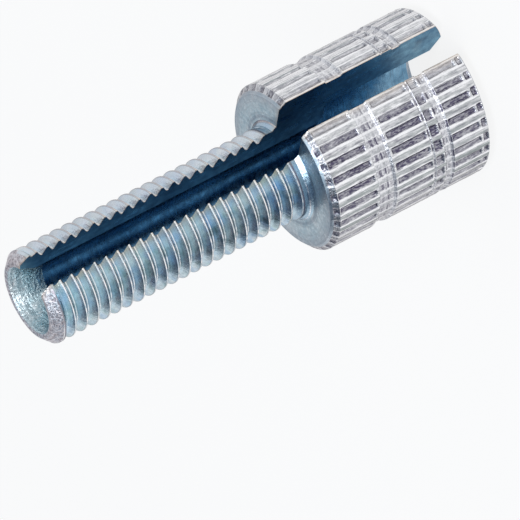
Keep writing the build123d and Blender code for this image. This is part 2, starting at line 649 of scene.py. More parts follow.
# %% [markdown]
# ## Closing the sheets into one solid
#
# The two sheets meet at the shoulder and at the floor of the seat. Their columns don't match,
# so the flat rings between them are zipped: triangles step along whichever side is behind.
# What is left open is the outline of the two slot walls. Each is a flat face, set in by the
# width of the small edge that the milling cutter leaves, so that the edge catches light as it
# does on the real screw.

# %% Joining helpers
PAST_A_TURN = 7                  # radians, past any column
ZONES = ("threaded", "cut", "flared", "faced", "rimmed", "knurled", "grooved", "domed", "milled",
         "edge", "bored")
print("zones of the surface:", len(ZONES))


def turn_of(vert):
    return atan2(vert.co.y, vert.co.x) % (2 * pi)


def zip_rings(bm, first, second):
    """Flat ring of triangles between two rows of points with different columns."""
    faces = []
    i = j = 0
    while i + 1 < len(first) or j + 1 < len(second):
        first_next = turn_of(first[i + 1]) if i + 1 < len(first) else PAST_A_TURN
        second_next = turn_of(second[j + 1]) if j + 1 < len(second) else PAST_A_TURN
        if first_next < second_next:
            faces.append(bm.faces.new((first[i], second[j], first[i + 1])))
            i += 1
        else:
            faces.append(bm.faces.new((first[i], second[j], second[j + 1])))
            j += 1
    return faces


def slot_wall(bm, outline, side):
    """One flat wall of the slot and the small edge round it. side is 1 or -1, along Y."""
    chain = [vert for vert, before in zip(outline, outline[-1:] + outline[:-1])
             if (vert.co - before.co).length > NO_LENGTH]
    flat = [Vector((vert.co.x, vert.co.z)) for vert in chain]
    area = sum(a.x * b.y - b.x * a.y for a, b in zip(flat, flat[1:] + flat[:1]))
    turned = 1 if area > 0 else -1
    rim = []
    for before, here, after in zip(flat[-1:] + flat[:-1], flat, flat[1:] + flat[:1]):
        along_in = (here - before).normalized()
        along_out = (after - here).normalized()
        inward = Vector((-along_in.y - along_out.y, along_in.x + along_out.x)) * turned
        stretch = SLOT_EDGE / max(0.5, inward.length / 2)
        point = here + inward.normalized() * stretch
        rim.append(bm.verts.new((point.x, side * HALF_SLOT, point.y)))
    for a, b in zip(range(len(chain)), list(range(1, len(chain))) + [0]):
        edge = bm.faces.new((chain[a], chain[b], rim[b], rim[a]))
        edge.material_index = ZONES.index("edge")
    for corners in tessellate_polygon([[(v.co.x, v.co.z, 0) for v in rim]]):
        wall = bm.faces.new([rim[c] for c in corners])
        wall.material_index = ZONES.index("milled")


# %% Which zone each row belongs to
FACED_DEPTH = 0.03 * MM          # the shoulder's face ends this far down its eased corner


def shank_zone(row):
    radius, height, _, _, lead = shank_rows[row]
    if lead > 0 or row < 2:
        return "threaded"
    if radius > MOUTH_R:
        return "cut"
    return "flared" if height > MOUTH_START - MOUTH_FADE / 2 else "bored"


def head_zone(row):
    (radius, height), (next_radius, _) = head_line[row:row + 2]
    if row >= outside_end:
        return "bored"
    if height > -FACED_DEPTH:
        return "faced"
    if height <= -KNURL_LENGTH:
        return "domed"
    if height > -FRONT_CHAMFER - CLOSE_BY:
        return "rimmed"
    return "grooved" if min(radius, next_radius) < HEAD_R - CLOSE_BY else "knurled"


def on_tip_cone(face):
    middle = face.calc_center_median()
    return middle.xy.length + middle.z > TIP_FACE_R + SHANK_LENGTH - 2 * CLOSE_BY


rows_by_zone = [shank_zone(row) for row in range(len(shank_rows))]
rows_by_zone += [head_zone(row) for row in range(len(head_line) - 1)]
print("rows:", ", ".join(f"{zone} {rows_by_zone.count(zone)}" for zone in sorted(set(rows_by_zone))))


# %% Join the sheets
MERGE = 0.0015 * MM              # points nearer than this become one
SLIVER = 0.0005 * MM             # faces thinner than this are dissolved
SHARP = radians(32)              # edges that bend more than this stay crisp


def joined():
    """Both sheets, the rings between them and the slot's walls, as one closed mesh."""
    bm = bmesh.new()
    rows = []
    for mesh, count, zone in (
        (shank_sheet, len(shank_rows), shank_zone),
        (head_sheet, len(head_line), head_zone),
    ):
        first_vert, first_face = len(bm.verts), len(bm.faces)
        bm.from_mesh(mesh)
        bm.verts.ensure_lookup_table()
        bm.faces.ensure_lookup_table()
        columns = len(mesh.vertices) // count
        rows.append([
            [bm.verts[first_vert + row * columns + column] for column in range(columns)]
            for row in range(count)
        ])
        for place in range(first_face, len(bm.faces)):
            row = (place - first_face) // (columns - 1)
            face = bm.faces[place]
            face.material_index = ZONES.index("cut" if on_tip_cone(face) else zone(row))
    shank, head = rows
    for face in zip_rings(bm, shank[0], head[0]):
        face.material_index = ZONES.index("faced")
    for face in zip_rings(bm, shank[-1], head[-1]):
        face.material_index = ZONES.index("bored")
    for column, side in ((0, 1), (-1, -1)):
        outline = [row[column] for row in shank] + [row[column] for row in reversed(head)]
        slot_wall(bm, outline, side)
    bmesh.ops.remove_doubles(bm, verts=bm.verts, dist=MERGE)
    bmesh.ops.dissolve_degenerate(bm, dist=SLIVER, edges=bm.edges)
    bmesh.ops.recalc_face_normals(bm, faces=bm.faces)
    open_edges = sum(1 for edge in bm.edges if len(edge.link_faces) != 2)
    print("open or crowded edges:", open_edges, " volume:", round(bm.calc_volume() * 1e9), "mm3")
    mesh = bpy.data.meshes.new("adjuster screw")
    bm.to_mesh(mesh)
    bm.free()
    return mesh


screw_mesh = joined()
screw = bpy.data.objects.new("adjuster_screw_plated", screw_mesh)
bpy.context.scene.collection.objects.link(screw)
screw_mesh.shade_smooth()
screw_mesh.set_sharp_from_angle(angle=SHARP)
screw_mesh.calc_loop_triangles()
print("screw:", len(screw_mesh.loop_triangles), "triangles")

# %% [markdown]
# ## Finishes
#
# Bright zinc takes a faint blue cast from the bath that seals it. The plate is thin, so it
# shows whatever is under it: rings from the lathe on turned faces, sparkling burrs on the
# knurl, brightened by painted highlights, long streaks in the slot. Each finish is a Principled
# shader of its own, and the marks that they share come from node groups.

# %% Helpers for effects
NUMBER = "NodeSocketFloat"
COLOUR = "NodeSocketColor"


def effect(name, inputs, outputs):
    """A new shader node group; inputs give (kind, value) and outputs a kind, by name."""
    tree = bpy.data.node_groups.new(name, "ShaderNodeTree")
    for label, (kind, value) in inputs.items():
        socket = tree.interface.new_socket(label, in_out="INPUT", socket_type=kind)
        socket.default_value = value
    for label, kind in outputs.items():
        tree.interface.new_socket(label, in_out="OUTPUT", socket_type=kind)
    return tree, tree.nodes.new("NodeGroupInput").outputs, tree.nodes.new("NodeGroupOutput").inputs


def place_of(tree):
    """Where the shaded point is on the piece."""
    return tree.nodes.new("ShaderNodeTexCoord").outputs["Object"]


def coordinates(tree):
    """x, y and z of the shaded point, as terms."""
    apart = add(tree, "ShaderNodeSeparateXYZ", Vector=place_of(tree))
    return (Term(tree, apart.outputs[name]) for name in "XYZ")


def round_the_axis(tree):
    """Radius, turn and height of the shaded point. The slot's middle is at turn 0."""
    x, y, z = coordinates(tree)
    return (x * x + y * y).of("SQRT"), y.put("ARCTAN2", y, x), z


def noise(tree, vector, scale, detail=2.0):
    node = add(tree, "ShaderNodeTexNoise", Vector=vector, Scale=scale, Detail=detail)
    return Term(tree, node.outputs[0])


def mixed(tree, share, first, second):
    """A colour between two, as an output."""
    node = add(tree, "ShaderNodeMix", {"data_type": "RGBA"})
    for value, slot in ((share, 0), (first, 6), (second, 7)):
        link_or_set(tree, value, node.inputs[slot])
    return node.outputs[2]


def band(value, middle, half, soft):
    """1 where a term lies within half of the middle, fading out over soft."""
    away = (value - middle).of("ABSOLUTE")
    return ((half - away) / soft + 0.5).clamped()


def towards(turn, middle, gain, peak=1.0):
    """Peak on the side that faces the turn called middle, and 0 away from it; gain narrows it."""
    return ((turn - middle).of("COSINE") * gain - (gain - peak)).clamped()


def far_side(turn):
    """1 on the side beyond the slot, at positive turns, and 0 on the near side."""
    return (turn.of("SINE") * 3 - 0.6).clamped()


def measured(tree):
    print(tree.name + ":", len(tree.nodes), "nodes")
    return tree


# %% [markdown]
# ## Marks of the lathe
#
# A turning tool leaves fine rings, each a little deeper or shallower than the next. A picture
# wrapped round the part would need seams, and a wave texture is too regular. Noise that hardly
# changes round the axis gives rings of uneven strength on every turned face, cone or cylinder.

# %% Marks of the lathe
def lathe_marks():
    """Fine rings: they change along the section, and hardly at all round the axis."""
    tree, given, out = effect("lathe marks", {"Marks per mm": (NUMBER, 12.0)}, {"Height": NUMBER})
    radius, turn, height = round_the_axis(tree)
    path = add(tree, "ShaderNodeCombineXYZ", X=radius * 1000, Y=height * 1000,
               Z=turn.of("COSINE") * 0.04)
    mark = noise(tree, path.outputs[0], given["Marks per mm"], 3.0)
    tree.links.new(mark.socket, out["Height"])
    return tree


marks = measured(lathe_marks())

# %% [markdown]
# ## Grain
#
# Plated steel sparkles in small specks: tiny pits on cut faces, and long streaks where a wheel
# or a cutter slid along. One noise does both. Its specks are stretched along the axis by as
# much as each finish asks for, and then made harder or softer.

# %% Grain of the surface
def surface_grain():
    """Specks, drawn out along the axis by Stretch."""
    tree, given, out = effect(
        "surface grain",
        {"Specks per mm": (NUMBER, 6.0), "Stretch": (NUMBER, 4.0), "Sharpness": (NUMBER, 3.0)},
        {"Mask": NUMBER},
    )
    x, y, z = coordinates(tree)
    path = add(tree, "ShaderNodeCombineXYZ", X=x * 1000, Y=y * 1000,
               Z=z * 1000 / Term(tree, given["Stretch"]))
    speck = noise(tree, path.outputs[0], given["Specks per mm"], 3.0)
    mask = (speck - 0.5) * Term(tree, given["Sharpness"]) + 0.5
    tree.links.new(mask.clamped().socket, out["Mask"])
    return tree


grain = measured(surface_grain())

# %% [markdown]
# ## Cloudy plating
#
# The bath never colours zinc evenly. Bluer and browner clouds lie over the silver, some as
# wide as the shank and some as small as a crest of the thread. Three noises of different size
# mix three colours, and the finest one is passed on, since cloudy plate is also a bit rougher.

# %% Cloudy plating
def plating_cloud():
    """Silver that turns blue and here and there brown, in soft clouds."""
    tree, given, out = effect(
        "plating cloud",
        {
            "Bright": (COLOUR, (0.8, 0.82, 0.85, 1)),
            "Blue": (COLOUR, (0.45, 0.6, 0.8, 1)),
            "Brown": (COLOUR, (0.45, 0.33, 0.2, 1)),
            "Blueness": (NUMBER, 0.5),
            "Brownness": (NUMBER, 0.1),
        },
        {"Color": COLOUR, "Cloud": NUMBER},
    )
    place = place_of(tree)
    broad = noise(tree, place, 260.0, 3.0)
    fine = noise(tree, place, 1800.0, 3.0)
    blue = (broad - 0.5) * 2 + (fine - 0.5) * 1.5 + Term(tree, given["Blueness"])
    other = noise(tree, place, 430.0, 4.0)
    brown = ((other - 0.62) * 9).clamped() * Term(tree, given["Brownness"])
    tint = mixed(tree, blue.clamped(), given["Bright"], given["Blue"])
    tree.links.new(mixed(tree, brown, tint, given["Brown"]), out["Color"])
    tree.links.new(fine.socket, out["Cloud"])
    return tree


cloud = measured(plating_cloud())

# %% [markdown]
# ## Where the knurl and the thread run
#
# The colour of a knurled or threaded surface follows its form: painted shade in the marks,
# painted highlights on a burr or a crest. Neither group looks at the mesh. Each works out from
# the place alone how far across a mark, or across the groove, the shaded point is, from the
# same count, pitch and start as the geometry, so paint and form stay in step.

# %% Pattern of the knurl
def knurl_pattern():
    """Side is 0 along a column of marks, and 1 and -1 in the middle of the ridges beside it."""
    tree, given, out = effect(
        "knurl pattern", {"Marks round the rim": (NUMBER, float(KNURL_COUNT))}, {"Side": NUMBER}
    )
    _, turn, _ = round_the_axis(tree)
    turns = turn * given["Marks round the rim"] / (2 * pi)
    side = (turns.put("FLOORED_MODULO", turns, 1.0) - 0.5) * 2
    tree.links.new(side.socket, out["Side"])
    return tree


pattern = measured(knurl_pattern())


# %% Pattern of the thread
def thread_pattern():
    """Across is 0 at the bottom of the groove, 1 on the crest above and -1 on the one below."""
    tree, given, out = effect(
        "thread pattern",
        {
            "Pitch": (NUMBER, THREAD_PITCH),
            "Groove height": (NUMBER, RUN_OUT_LAND + RUN_OUT_TURN * THREAD_PITCH),
            "Groove turn": (NUMBER, RUN_OUT_START),
        },
        {"Across": NUMBER},
    )
    _, turn, height = round_the_axis(tree)
    climbed = (height - given["Groove height"]) / given["Pitch"]
    turns = climbed - (turn - given["Groove turn"]) / (2 * pi) + 0.5
    across = (turns.put("FLOORED_MODULO", turns, 1.0) - 0.5) * 2
    tree.links.new(across.socket, out["Across"])
    return tree


helix = measured(thread_pattern())

# %% [markdown]
# ## Wear beside the slot
#
# The milling cutter tears the plate's edge a little, and the inner cable and fingers rub it
# until steel and brass-coloured plate show. An edge finder in the shader would also find every
# crest of the thread, so the mask simply fades out with the distance from the slot's walls.

# %% Wear beside the slot
def slot_wear():
    """Mask is 1 at the slot's edges and fades out over Reach."""
    tree, given, out = effect(
        "slot wear",
        {"Half slot": (NUMBER, HALF_SLOT), "Reach": (NUMBER, 0.5 * MM)},
        {"Mask": NUMBER},
    )
    x, y, _ = coordinates(tree)
    near = 1 - (y.of("ABSOLUTE") - given["Half slot"]) / given["Reach"]
    open_side = (x * 1e5).clamped()
    ragged = noise(tree, place_of(tree), 1500.0, 3.0) * 1.6
    mask = (near.clamped() * open_side * ragged).at_most(1.0)
    tree.links.new(mask.socket, out["Mask"])
    return tree


wear = measured(slot_wear())

# %% [markdown]
# ## Colours of the knurl
#
# A knurling wheel squeezes the metal up into ragged burrs beside each mark, and leaves the
# mark itself rough. Painted highlights make the burrs bright and painted shade makes the marks
# dark, less so beside the slot and at the back. All of this could be modelled, but a burr is a
# few hundredths of a millimetre high: colour and grain show it well enough. Ridges, chamfer and
# grooves share the group, and each gives its own strength of painted shade in the marks, of
# painted highlights on the burrs, and of wear, which also sets painted shade on one side.

# %% How strong the painted shade in the marks is
WHITE = (0.98, 0.98, 1.0, 1)
BRASSY = (0.66, 0.50, 0.32, 1)
GREY_GREEN = (0.30, 0.34, 0.34, 1)
SHADED_GREY = (0.40, 0.39, 0.42, 1)
VIOLET_GREY = (0.62, 0.62, 0.68, 1)
MARK_SHADE_VIOLET = (0.10, 0.09, 0.15, 1)


def grains_of(tree, per_mm, stretch, sharpness):
    node = add(tree, "ShaderNodeGroup", {"node_tree": grain}, Specks_per_mm=per_mm,
               Stretch=stretch, Sharpness=sharpness)
    return Term(tree, node.outputs["Mask"])


def mark_shade_group():
    """Strength of the painted shade in the marks: 1 on the near side, less beside the slot and at
    the back.
    """
    tree, _, out = effect("wheel bite", {}, {"Bite": NUMBER})
    _, turn, _ = round_the_axis(tree)
    near_side = ((-0.25 - turn) * 3.5).clamped()
    behind = turn.of("COSINE").at_most(0.0) * -0.4 + 0.3
    shade_strength = (near_side * (turn * 0.5 + 1.45).at_most(1.0)).at_least(behind)
    tree.links.new(shade_strength.socket, out["Bite"])
    return tree


mark_shade_tree = measured(mark_shade_group())


def mark_shade_of(tree):
    return Term(tree, add(tree, "ShaderNodeGroup", {"node_tree": mark_shade_tree}).outputs["Bite"])


# %% Colours of the knurl
def knurl_colours():
    """Painted shade in the marks, painted highlights on the burrs beside them, and worn streaks
    along the ridge with painted shade on one side.
    """
    tree, given, out = effect(
        "knurl colours",
        {
            "Color": (COLOUR, WHITE),
            "Speck": (NUMBER, 0.5),
            "Ring": (NUMBER, 0.5),
            "Mark": (NUMBER, 0.0),
            "Burr": (NUMBER, 1.0),
            "Worn": (NUMBER, 1.0),
        },
        {"Color": COLOUR},
    )
    speck, ring, mark, burr_highlight, worn = (
        Term(tree, given[name]) for name in ("Speck", "Ring", "Mark", "Burr", "Worn")
    )
    knurl = add(tree, "ShaderNodeGroup", {"node_tree": pattern})
    side = Term(tree, knurl.outputs["Side"]) + (speck - 0.5) * 0.14
    ridge = side.of("ABSOLUTE")
    _, turn, _ = round_the_axis(tree)

    # worn streaks and pepper; painted shade makes the streaks and the stripe stronger on one side
    # and greys the head further round
    streak = grains_of(tree, 3.2, 18.0, 9.0)
    shaded_side = towards(turn, -1.5, 2.0) * 0.85 + 0.15
    streaks = band(ridge, 0.80, 0.20, 0.08) * streak * worn * shaded_side
    colour = mixed(tree, streaks, given["Color"], GREY_GREEN)
    stripe = band(side, 0.82, 0.14, 0.08) * worn * shaded_side * 0.7
    colour = mixed(tree, stripe, colour, GREY_GREEN)
    pepper = grains_of(tree, 7.0, 2.0, 12.0) * worn * 0.35
    colour = mixed(tree, pepper, colour, GREY_GREEN)
    shaded_underside = towards(turn, -2.05, 8)
    colour = mixed(tree, shaded_underside * worn * 0.5, colour, SHADED_GREY)

    # painted highlights on the ridges beyond the slot, with a painted shade line in each mark
    # there, then painted highlights on the burrs on either side of a mark
    far = far_side(turn) * burr_highlight
    colour = mixed(tree, band(ridge, 0.88, 0.12, 0.10) * far * 0.8, colour, WHITE)
    colour = mixed(tree, band(ridge, 0.53, 0.05, 0.05) * burr_highlight, colour, WHITE)
    colour = mixed(tree, band(ridge, 0.40, 0.04, 0.05) * far * 0.7, colour, GREY_GREEN)
    colour = mixed(tree, band(side, -0.64, 0.10, 0.06) * burr_highlight, colour, WHITE)

    # painted shade in the faint marks in the chamfer and the grooves
    shade = band(ridge, 0.0, 0.44, 0.12) * (speck * 0.5 + ring * 0.9).at_most(1.0) * mark
    colour = mixed(tree, shade * mark_shade_of(tree), colour, MARK_SHADE_VIOLET)
    tree.links.new(colour, out["Color"])
    return tree


knurled_colours = measured(knurl_colours())


# mark sets the painted shade in the faint marks, the burr strength sets the painted highlights, and
# worn sets both the worn streaks and the painted shade on one side of the head
def in_the_knurl(mark, burr_highlight, worn, ringed=True):
    def paint(tree, colour, speck, ring):
        node = add(tree, "ShaderNodeGroup", {"node_tree": knurled_colours}, Color=colour,
                   Speck=speck, Ring=ring if ringed else speck, Mark=mark, Burr=burr_highlight, Worn=worn)
        return node.outputs["Color"]
    return paint


# %% [markdown]
# ## Colours of the thread
#
# The thread shows the most colour of all. Each flank mirrors the one across the groove, so a
# little dark or bright paint on one shows on both. The plate is blue and green in patches, the
# blue painted stronger towards the head and on the near side as a reflection. Painted shade
# darkens one side towards the head, and the neck; a painted reflection lightens the side beyond
# the slot. Along the groove lie a painted highlight at the root and on the crest, a pale painted
# reflection on one flank, and painted shade on the other flank and in a brown line beside the
# crest. The lines follow the thread's own pattern, so they climb with it.

# %% Colours of the thread
SEA_GREEN = (0.42, 0.68, 0.66, 1)
COBALT = (0.30, 0.54, 0.88, 1)
SIDE_SHADE_INK = (0.08, 0.14, 0.17, 1)
PEWTER = (0.45, 0.50, 0.50, 1)
PALE_LILAC_REFLECTION = (0.90, 0.88, 0.92, 1)
NECK_SHADE_BLUE = (0.36, 0.52, 0.66, 1)
PLUM_SHADE = (0.18, 0.13, 0.17, 1)
ICE_REFLECTION = (0.70, 0.90, 1, 1)
FROST_HIGHLIGHT = (0.95, 0.97, 1, 1)
UMBER_SHADE = (0.22, 0.15, 0.13, 1)
WARM_HIGHLIGHT = (1.0, 0.97, 0.97, 1)
SMOKE_SHADE = (0.32, 0.26, 0.26, 1)
NECK_SHADE_HEIGHT = 1.3 * MM           # how far up from the shoulder the painted shade reaches
NECK_SHADE_FADE = 0.5 * MM


def in_the_thread(tree, colour, speck, ring):
    """Patches of the bath, painted shade on one side and the neck, and painted light and shade along
    the root and the crest.
    """
    turned = add(tree, "ShaderNodeGroup", {"node_tree": helix})
    across = Term(tree, turned.outputs["Across"])
    _, turn, height = round_the_axis(tree)
    place = place_of(tree)
    lower = (1 - height / SHANK_LENGTH).clamped()
    neck = ((NECK_SHADE_HEIGHT - height) / NECK_SHADE_FADE).clamped()
    far = far_side(turn)

    # green and blue patches of the bath, the blue painted stronger on the near side and towards
    # the head as a reflection; painted shade on one side, a greyer band near the slot, a painted
    # reflection on the side beyond the slot and painted shade on the neck
    green = ((noise(tree, place, 1100.0, 3.0) - 0.5) * 7).clamped()
    blue = ((noise(tree, place, 700.0, 3.0) - 0.45) * 5).clamped()
    blue_sheen = (turn + 0.7).of("COSINE") * 0.35 + 0.65
    shaded = towards(turn, -1.3, 6, 1.2) * lower.of("SQRT")
    colour = mixed(tree, green * 0.4, colour, SEA_GREEN)
    colour = mixed(tree, blue * blue_sheen * (lower * 0.55 + 0.25), colour, COBALT)
    colour = mixed(tree, shaded * (0.5 + green * 0.4), colour, SIDE_SHADE_INK)
    colour = mixed(tree, towards(turn, -0.4, 12) * 0.5, colour, PEWTER)
    colour = mixed(tree, far * 0.5, colour, PALE_LILAC_REFLECTION)
    colour = mixed(tree, neck * 0.7, colour, NECK_SHADE_BLUE)

    # painted lines along the groove, from the upper flank to the lower one, and then the crest:
    # painted shade, a pale painted reflection, a painted highlight along the root, a line of painted
    # shade beside the crest, a painted highlight on the crest and painted shade on it beyond the
    # slot
    broken = ((noise(tree, place, 2500.0, 2.0) - 0.35) * 4).at_least(0.25).at_most(1.0)
    colour = mixed(tree, band(across, 0.78, 0.14, 0.06) * 0.75, colour, PLUM_SHADE)
    colour = mixed(tree, band(across, -0.30, 0.10, 0.12) * 0.4, colour, ICE_REFLECTION)
    colour = mixed(tree, band(across, -0.06, 0.07, 0.06) * broken, colour, FROST_HIGHLIGHT)
    colour = mixed(tree, band(across, -0.86, 0.02, 0.05) * 0.65, colour, UMBER_SHADE)
    crest = band(across.of("ABSOLUTE"), 1.0, 0.08, 0.05)
    colour = mixed(tree, crest * broken, colour, WARM_HIGHLIGHT)
    return mixed(tree, crest * far * 0.7, colour, SMOKE_SHADE)


# the dark, lilac and steel blue colours counted with the plate are painted shade and reflection, and
# those along the groove are painted highlights, reflection and shade
print("colours of the thread:", len((SEA_GREEN, COBALT, SIDE_SHADE_INK, PEWTER, PALE_LILAC_REFLECTION, NECK_SHADE_BLUE)),
      "in the plate,", len((PLUM_SHADE, ICE_REFLECTION, FROST_HIGHLIGHT, UMBER_SHADE, WARM_HIGHLIGHT, SMOKE_SHADE)), "along the groove")

# %% [markdown]
# ## One finish
#
# Every zone of the screw has the same plate on a differently worked surface. So each finish
# starts from the same plain values and changes a few: the two colours of the plate, how many
# specks and rings there are and how deep, and how far the slot's wear reaches. The colours feed
# the shader's base colour, and the specks and rings two bump nodes, one on top of the other.

# %% One finish
PLAIN = {
    "bright": (0.90, 0.90, 0.92, 1),
    "blue": (0.62, 0.76, 0.86, 1),
    "dull": (0.12, 0.12, 0.15, 1),
    "edge": (0.70, 0.68, 0.68, 1),
    "blueness": 0.5,
    "brownness": 0.1,
    "rough": 0.26,
    "specks_per_mm": 4.0,
    "stretch": 1.0,
    "speck_dull": 0.25,
    "speck_depth": 0.008 * MM,
    "rings_per_mm": 6.0,
    "ring_dull": 0.1,
    "ring_depth": 0.004 * MM,
    "wear": 0.4,
    "wear_reach": 0.5 * MM,
    "deep": None,
    "along": None,
}


def finish(name, **changes):
    """A zinc finish: PLAIN with some changes. deep is where the painted shade on a mark's floor
    starts and is full, two radii, and its colour. along adds the colours that follow the thread
    or knurl, painted light and shade among them."""
    look = {**PLAIN, **changes}
    material = bpy.data.materials.new(name)
    material.use_nodes = True
    tree = material.node_tree
    shader = tree.nodes["Principled BSDF"]
    shader.inputs["Metallic"].default_value = 1.0
    shader.inputs["Specular Tint"].default_value = look["edge"]
    tint = add(tree, "ShaderNodeGroup", {"node_tree": cloud}, Bright=look["bright"],
               Blue=look["blue"], Blueness=look["blueness"], Brownness=look["brownness"])
    grains = add(tree, "ShaderNodeGroup", {"node_tree": grain}, Stretch=look["stretch"],
                 Specks_per_mm=look["specks_per_mm"])
    rings = add(tree, "ShaderNodeGroup", {"node_tree": marks}, Marks_per_mm=look["rings_per_mm"])
    speck = Term(tree, grains.outputs["Mask"])
    ring = Term(tree, rings.outputs["Height"])
    ring_lines = ((0.52 - ring) * 8).clamped()
    dulled = (speck * look["speck_dull"] + ring_lines * look["ring_dull"]).at_most(1.0)
    colour = mixed(tree, dulled, tint.outputs["Color"], look["dull"])
    if look["along"]:
        colour = look["along"](tree, colour, speck, ring_lines)
    # painted shade on the floors of the marks, grainy and in patches
    if look["deep"]:
        start, end, mark_shade_colour = look["deep"]
        radius, _, _ = round_the_axis(tree)
        down = ((radius - start) / (end - start) + (speck - 0.5) * 1.2).clamped()
        patchy = (grains_of(tree, 1.3, 1.6, 4.0) * 0.5 + 0.8).at_most(1.1)
        grainy = grains_of(tree, 8.0, 2.5, 6.0) * 0.5 + 0.55
        colour = mixed(tree, down * (grainy * patchy * mark_shade_of(tree)), colour, mark_shade_colour)
    worn = add(tree, "ShaderNodeGroup", {"node_tree": wear}, Reach=look["wear_reach"])
    colour = mixed(tree, Term(tree, worn.outputs["Mask"]) * look["wear"], colour, BRASSY)
    tree.links.new(colour, shader.inputs["Base Color"])
    rough_here = Term(tree, tint.outputs["Cloud"]) * 0.2 + speck * 0.15 + (look["rough"] - 0.15)
    link_or_set(tree, rough_here, shader.inputs["Roughness"])
    relief = add(tree, "ShaderNodeBump", Strength=1.0, Distance=look["speck_depth"])
    link_or_set(tree, 1 - speck, relief.inputs["Height"])
    bump = add(tree, "ShaderNodeBump", Strength=1.0, Distance=look["ring_depth"],
               Height=rings.outputs["Height"], Normal=relief.outputs[0])
    tree.links.new(bump.outputs[0], shader.inputs["Normal"])
    return material


# centre of the ring of painted shade on the shoulder
SHOULDER_SHADE_R = 4.6 * MM
GREY_RIM_R = 5.5 * MM


def round_the_neck(tree, colour, speck, ring):
    """A soft ring of painted shade on the shoulder round the shank, and a greyer rim."""
    radius, _, _ = round_the_axis(tree)
    # painted shade: a soft dark ring on the shoulder where the shank meets it
    shade_ring = band(radius, SHOULDER_SHADE_R, 0.1 * MM, 0.3 * MM)
    outside = ((radius - GREY_RIM_R) / (1 * MM)).clamped()
    colour = mixed(tree, outside * 0.35, colour, (0.32, 0.30, 0.36, 1))
    return mixed(tree, shade_ring * 0.5, colour, (0.14, 0.16, 0.24, 1))


# %% [markdown]
# ## The eleven finishes
#
# Each zone's values say how it was made: the thread is cut clean, the cut end is rough and
# torn, the flared mouth was opened with a coarse drill and the shoulder is faced. The slot and
# the bore are blue, and their dark colour is painted shade.

# %% The finishes
finishes = {
    "threaded": finish(
        "zinc, threaded", bright=(0.86, 0.95, 0.96, 1), blue=(0.62, 0.82, 0.92, 1), rough=0.22,
        speck_dull=0.12, along=in_the_thread,
    ),
    "cut": finish(
        "zinc, cut end", bright=(0.95, 0.91, 0.94, 1), dull=(0.28, 0.24, 0.27, 1), blueness=0.2,
        rough=0.35, specks_per_mm=4.0, speck_dull=0.75, speck_depth=0.05 * MM, ring_dull=0.2,
    ),
    "flared": finish(
        "zinc, flared", bright=(1.0, 1.0, 1.0, 1), blue=(0.50, 0.68, 0.74, 1),
        dull=(0.22, 0.31, 0.35, 1), edge=(0.95, 0.97, 1.0, 1), blueness=0.5, rough=0.2,
        specks_per_mm=5.0, speck_dull=0.45, speck_depth=0.03 * MM, rings_per_mm=3.5,
        ring_dull=0.35, ring_depth=0.03 * MM,
    ),
    "faced": finish(
        "zinc, faced", bright=(0.72, 0.80, 0.84, 1), blue=(0.48, 0.64, 0.72, 1), blueness=0.6,
        rough=0.3, specks_per_mm=3.0, speck_dull=0.12, speck_depth=0.004 * MM, ring_dull=0.15,
        along=round_the_neck,
    ),
    "rimmed": finish(
        "zinc, rim", bright=(0.66, 0.64, 0.67, 1), blue=VIOLET_GREY, blueness=0.25,
        specks_per_mm=5.0, stretch=1.5, speck_dull=0.8, speck_depth=0.02 * MM, ring_dull=0.0,
        along=in_the_knurl(mark=0.8, burr_highlight=0.6, worn=0.4, ringed=False),
    ),
    "knurled": finish(
        "zinc, knurled", bright=(0.97, 0.97, 0.99, 1), blue=VIOLET_GREY, blueness=0.2,
        specks_per_mm=7.0, stretch=7.0, speck_dull=0.5, speck_depth=0.02 * MM, ring_dull=0.0,
        ring_depth=0.001 * MM, along=in_the_knurl(mark=0.0, burr_highlight=1.0, worn=0.8),
        deep=(HEAD_R - 0.01 * MM, HEAD_R - 0.06 * MM, MARK_SHADE_VIOLET),
    ),
    "grooved": finish(
        "zinc, grooved", bright=(0.94, 0.94, 0.97, 1), blue=VIOLET_GREY, blueness=0.25, rough=0.36,
        specks_per_mm=6.0, speck_dull=0.4, speck_depth=0.02 * MM, rings_per_mm=5.0, ring_dull=0.25,
        ring_depth=0.02 * MM, along=in_the_knurl(mark=0.95, burr_highlight=0.7, worn=0.3),
    ),
    "domed": finish("zinc, domed", rings_per_mm=9.0, ring_dull=0.4, ring_depth=0.006 * MM),
    # the slot's walls: a blue tint darkened as painted shade
    "milled": finish(
        "zinc, milled", bright=(0.20, 0.40, 0.54, 1), blue=(0.08, 0.19, 0.31, 1), rough=0.3,
        specks_per_mm=2.0, stretch=8.0, speck_dull=0.15, speck_depth=0.003 * MM, ring_dull=0.0,
        ring_depth=0.001 * MM, wear=0.0,
    ),
    "edge": finish(
        "zinc, slot edge", bright=(0.95, 0.82, 0.74, 1), blue=(0.8, 0.72, 0.72, 1),
        brownness=0.8, speck_dull=0.4,
    ),
    # the bore: a blue tint darkened as painted shade
    "bored": finish(
        "zinc, bored", bright=(0.28, 0.50, 0.68, 1), blue=(0.10, 0.24, 0.38, 1), rough=0.22,
        specks_per_mm=2.5, speck_dull=0.12, speck_depth=0.003 * MM, rings_per_mm=8.0,
        ring_dull=0.2, wear=0.0,
    ),
}
for zone in ZONES:
    screw_mesh.materials.append(finishes[zone])
bpy.data.materials.remove(plating)
print("finishes:", [material.name for material in finishes.values()])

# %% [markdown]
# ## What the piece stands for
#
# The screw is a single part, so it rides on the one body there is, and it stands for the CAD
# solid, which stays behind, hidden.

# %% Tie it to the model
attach(screw, "root")
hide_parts("adjuster_screw")
print(screw.name, "stands for adjuster_screw")

# %% [markdown]
# ## The studio
#
# A bright metal part shows its surroundings more than its own colour, so the room matters. The
# table is white and stays white where the metal mirrors it, so part of its light is its own.

